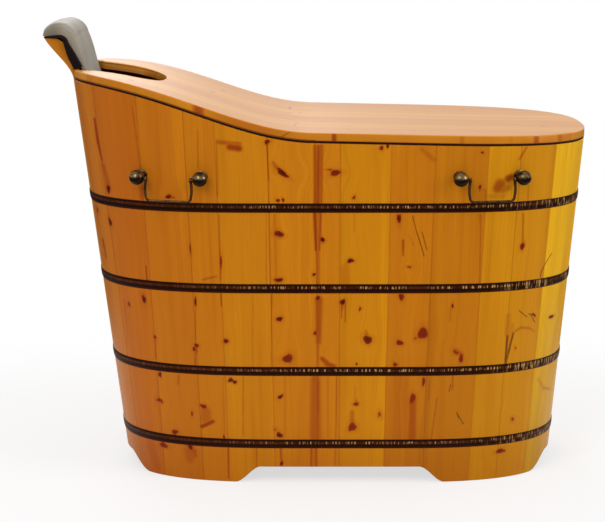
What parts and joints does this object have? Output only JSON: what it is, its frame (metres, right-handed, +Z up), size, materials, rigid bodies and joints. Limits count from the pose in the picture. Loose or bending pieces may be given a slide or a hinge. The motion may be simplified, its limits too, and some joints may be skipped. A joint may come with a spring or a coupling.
{
  "type": "wooden bathtub",
  "caption": "Stave-built oval wooden soaking tub with metal hoops, cut feet, raised back with neck pillow, lift-off curved lid with neck opening, seat, drain and drop handles.",
  "frame": {"origin": "middle of the whole object's bottom, on the ground", "axes": "+X along the tub from head end to foot end, +Y across it to the bather's left, +Z up"},
  "size_m": [1.1252, 0.6764, 0.9291],
  "materials": {
    "stave_wood": "semi-gloss varnish",
    "inner_wood": "satin",
    "lid_wood": "satin varnish",
    "hoop_steel": "satin",
    "bronze": "antique, darkened",
    "steel": "satin",
    "seal_rubber": "matte",
    "backing": "matte",
    "pillow_skin": "soft satin"
  },
  "bodies": {
    "tub": {"head_stave": "stave_wood", "foot_stave": "stave_wood", "right_stave_1": "stave_wood", "right_stave_2": "stave_wood", "right_stave_3": "stave_wood", "right_stave_4": "stave_wood", "right_stave_5": "stave_wood", "right_stave_6": "stave_wood", "right_stave_7": "stave_wood", "right_stave_8": "stave_wood", "right_stave_9": "stave_wood", "right_stave_10": "stave_wood", "right_stave_11": "stave_wood", "right_stave_12": "stave_wood", "right_stave_13": "stave_wood", "right_stave_14": "stave_wood", "right_stave_15": "stave_wood", "left_stave_1": "stave_wood", "left_stave_2": "stave_wood", "left_stave_3": "stave_wood", "left_stave_4": "stave_wood", "left_stave_5": "stave_wood", "left_stave_6": "stave_wood", "left_stave_7": "stave_wood", "left_stave_8": "stave_wood", "left_stave_9": "stave_wood", "left_stave_10": "stave_wood", "left_stave_11": "stave_wood", "left_stave_12": "stave_wood", "left_stave_13": "stave_wood", "left_stave_14": "stave_wood", "left_stave_15": "stave_wood", "bottom_hoop": "hoop_steel", "lower_hoop": "hoop_steel", "upper_hoop": "hoop_steel", "top_hoop": "hoop_steel", "hoop_rivets": "hoop_steel", "floor_boards": "inner_wood", "floor_battens": "inner_wood", "floor_screws": "steel", "drain_flange": "steel", "drain_washer": "seal_rubber", "drain_nut": "steel", "seat_boards": "inner_wood", "seat_cleats": "inner_wood", "handle_posts": "bronze", "handle_plates": "bronze", "handle_nuts": "steel"},
    "lid": {"lid_head_boards": "lid_wood", "lid_foot_boards": "lid_wood", "lid_battens": "lid_wood", "lid_screws": "steel", "lid_seal": "seal_rubber"},
    "pillow": {"pillow_backing": "backing", "neck_pillow": "pillow_skin"},
    "plug": {"drain_plug": "bronze"},
    "right_head_handle": {"right_head_bail": "bronze"},
    "right_foot_handle": {"right_foot_bail": "bronze"},
    "left_head_handle": {"left_head_bail": "bronze"},
    "left_foot_handle": {"left_foot_bail": "bronze"}
  },
  "joints": [
    {"name": "lid_lift", "type": "slide", "parent": "tub", "child": "lid", "axis": [0, 0, 1], "range_m": [0, 0.3]},
    {"name": "pillow_lift", "type": "slide", "parent": "tub", "child": "pillow", "axis": [0, 0, 1], "range_m": [0, 0.2]},
    {"name": "plug_lift", "type": "slide", "parent": "tub", "child": "plug", "axis": [0, 0, 1], "range_m": [0, 0.009]},
    {"name": "right_head_swing", "type": "hinge", "parent": "tub", "child": "right_head_handle", "pos_m": [-0.29009, -0.30484, 0.63392], "axis": [-0.9701, 0.2426, 0], "range_deg": [-22, 145]},
    {"name": "right_foot_swing", "type": "hinge", "parent": "tub", "child": "right_foot_handle", "pos_m": [0.34825, -0.31128, 0.63419], "axis": [-0.9824, -0.1867, 0], "range_deg": [-22, 145]},
    {"name": "left_head_swing", "type": "hinge", "parent": "tub", "child": "left_head_handle", "pos_m": [-0.29009, 0.30484, 0.63392], "axis": [0.9701, 0.2426, 0], "range_deg": [-22, 145]},
    {"name": "left_foot_swing", "type": "hinge", "parent": "tub", "child": "left_foot_handle", "pos_m": [0.34825, 0.31128, 0.63419], "axis": [0.9824, -0.1867, 0], "range_deg": [-22, 145]}
  ]
}
